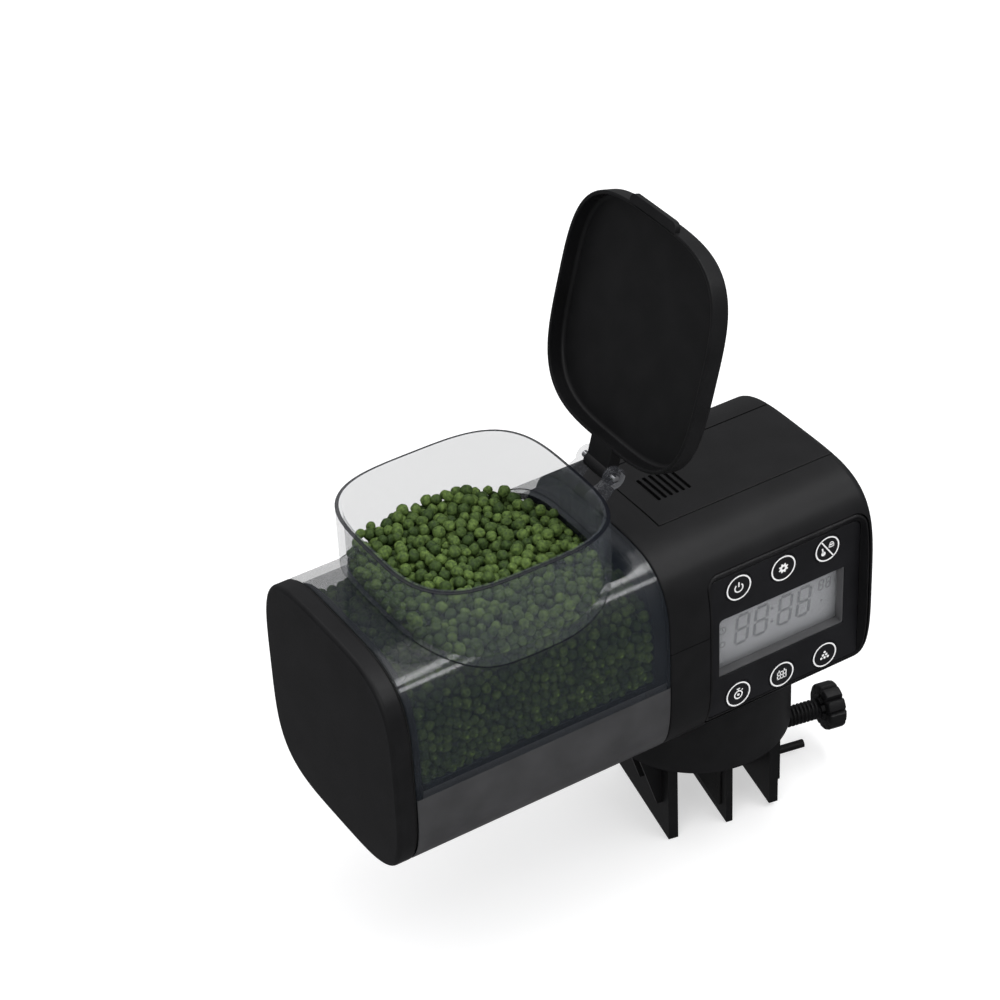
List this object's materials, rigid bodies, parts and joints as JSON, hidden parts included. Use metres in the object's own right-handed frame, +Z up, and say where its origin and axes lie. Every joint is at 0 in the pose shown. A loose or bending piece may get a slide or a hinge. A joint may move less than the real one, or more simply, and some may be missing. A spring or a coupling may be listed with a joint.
{
  "type": "automatic fish feeder",
  "caption": "Automatic aquarium fish feeder: smoked food barrel with a lidded hopper beside a battery-powered control body with display and keys, swivelling on a screw clamp for the tank wall.",
  "frame": {"origin": "on the swivel axis, at the level where the rim of the tank wall rests under the clamp", "axes": "+X from the food barrel to the right end of the body, -Y towards the side with the display, +Z up; the clamp is turned 11 degrees about Z at rest, as it stands in the picture"},
  "size_m": [0.1692, 0.07, 0.2082],
  "materials": {
    "black_shell": "fine grained, moulded",
    "black_clamp": "satin, moulded",
    "jaw_pad": "matt",
    "zinc_steel": "zinc plated",
    "polished_pin": "ground",
    "panel_black": "satin film",
    "bezel_black": "satin",
    "clear_window": "clear",
    "lcd_grey": "reflective display",
    "board_green": "solder resist",
    "switch_grey": "moulded",
    "cell_wrap": "printed sleeve, no text",
    "spring_steel": "nickel plated",
    "bay_black": "moulded",
    "frame_white": "moulded",
    "motor_can": "drawn can",
    "brass_gear": "machined",
    "gear_white": "acetal",
    "bronze_bush": "sintered",
    "auger_grey": "moulded",
    "hopper_clear": "lightly tinted transparent",
    "barrel_smoke": "smoked transparent",
    "liner_black": "moulded",
    "seal_black": "matt",
    "food_green": "rough pressed pellets",
    "print_white": "screen print",
    "lcd_ink": "display segments",
    "clear_edge": "edge of tinted transparent"
  },
  "bodies": {
    "clamp": {"clamp_base": "black_clamp", "jaw_pad_fixed": "jaw_pad", "swivel_washer": "zinc_steel", "swivel_screw": "zinc_steel"},
    "housing": {"housing_lower": "black_shell", "housing_upper": "black_shell", "housing_screws": "zinc_steel", "front_bezel": "bezel_black", "panel_film": "panel_black", "lcd_window": "clear_window", "lcd_module": "lcd_grey", "main_board": "board_green", "tact_switches": "switch_grey", "battery_cells": "cell_wrap", "battery_contacts": "spring_steel", "battery_bay": "bay_black", "gear_frame": "frame_white", "motor": "motor_can", "idler_pin": "polished_pin", "shaft_bush": "bronze_bush", "barrel_shell": "barrel_smoke", "barrel_liner": "liner_black", "drive_bulkhead": "bezel_black", "bulkhead_screws": "zinc_steel", "hopper": "hopper_clear", "lid_pin": "polished_pin"},
    "jaw": {"moving_jaw": "black_clamp", "jaw_pad_moving": "jaw_pad"},
    "clamp_screw": {"thumb_screw": "black_clamp"},
    "cover": {"battery_cover": "black_shell"},
    "pinion": {"motor_pinion": "brass_gear"},
    "idler": {"idler_gear": "gear_white"},
    "feed": {"output_gear": "gear_white", "drive_shaft": "polished_pin", "feed_screw": "auger_grey"},
    "cap": {"end_cap": "black_shell", "cap_seal": "seal_black"},
    "lid": {"lid": "black_shell"},
    "key_power": {"key_power": "panel_black"},
    "key_settings": {"key_settings": "panel_black"},
    "key_lock": {"key_lock": "panel_black"},
    "key_timer": {"key_timer": "panel_black"},
    "key_meals": {"key_meals": "panel_black"},
    "key_portion": {"key_portion": "panel_black"}
  },
  "joints": [
    {"name": "swivel", "type": "hinge", "parent": "clamp", "child": "housing", "pos_m": [0, 0, 0], "axis": [0, 0, 1], "continuous": true},
    {"name": "jaw_slide", "type": "slide", "parent": "clamp", "child": "jaw", "axis": [0.9816, -0.1908, 0], "range_m": [-0.0139, 0.0085]},
    {"name": "screw_turn", "type": "hinge", "parent": "jaw", "child": "clamp_screw", "pos_m": [0, 0, -0.0133], "axis": [0.9816, -0.1908, 0], "range_deg": [-4050, 2500]},
    {"name": "lid_hinge", "type": "hinge", "parent": "housing", "child": "lid", "pos_m": [-0.0312, 0, 0.1026], "axis": [0, 1, 0], "range_deg": [-105, 0]},
    {"name": "cover_slide", "type": "slide", "parent": "housing", "child": "cover", "axis": [1, 0, 0], "range_m": [0, 0.064]},
    {"name": "cap_pull", "type": "slide", "parent": "housing", "child": "cap", "axis": [-1, 0, 0], "range_m": [0, 0.03]},
    {"name": "key_power_press", "type": "slide", "parent": "housing", "child": "key_power", "axis": [0, 1, 0], "range_m": [0, 0.00035], "stiffness_N_per_m": 2000},
    {"name": "key_settings_press", "type": "slide", "parent": "housing", "child": "key_settings", "axis": [0, 1, 0], "range_m": [0, 0.00035], "stiffness_N_per_m": 2000},
    {"name": "key_lock_press", "type": "slide", "parent": "housing", "child": "key_lock", "axis": [0, 1, 0], "range_m": [0, 0.00035], "stiffness_N_per_m": 2000},
    {"name": "key_timer_press", "type": "slide", "parent": "housing", "child": "key_timer", "axis": [0, 1, 0], "range_m": [0, 0.00035], "stiffness_N_per_m": 2000},
    {"name": "key_meals_press", "type": "slide", "parent": "housing", "child": "key_meals", "axis": [0, 1, 0], "range_m": [0, 0.00035], "stiffness_N_per_m": 2000},
    {"name": "key_portion_press", "type": "slide", "parent": "housing", "child": "key_portion", "axis": [0, 1, 0], "range_m": [0, 0.00035], "stiffness_N_per_m": 2000},
    {"name": "feed_spin", "type": "hinge", "parent": "housing", "child": "feed", "pos_m": [-0.0275, 0, 0.0335], "axis": [1, 0, 0], "continuous": true},
    {"name": "idler_spin", "type": "hinge", "parent": "housing", "child": "idler", "pos_m": [-0.0275, 0.01018, 0.04368], "axis": [1, 0, 0], "continuous": true},
    {"name": "motor_spin", "type": "hinge", "parent": "housing", "child": "pinion", "pos_m": [-0.0235, -0.00229, 0.05088], "axis": [1, 0, 0], "continuous": true}
  ],
  "couplings": [
    {"joint": "screw_turn", "follows": "jaw_slide", "rad_per_m": 5026.5},
    {"joint": "idler_spin", "follows": "feed_spin", "ratio": -3},
    {"joint": "motor_spin", "follows": "feed_spin", "ratio": 9}
  ]
}
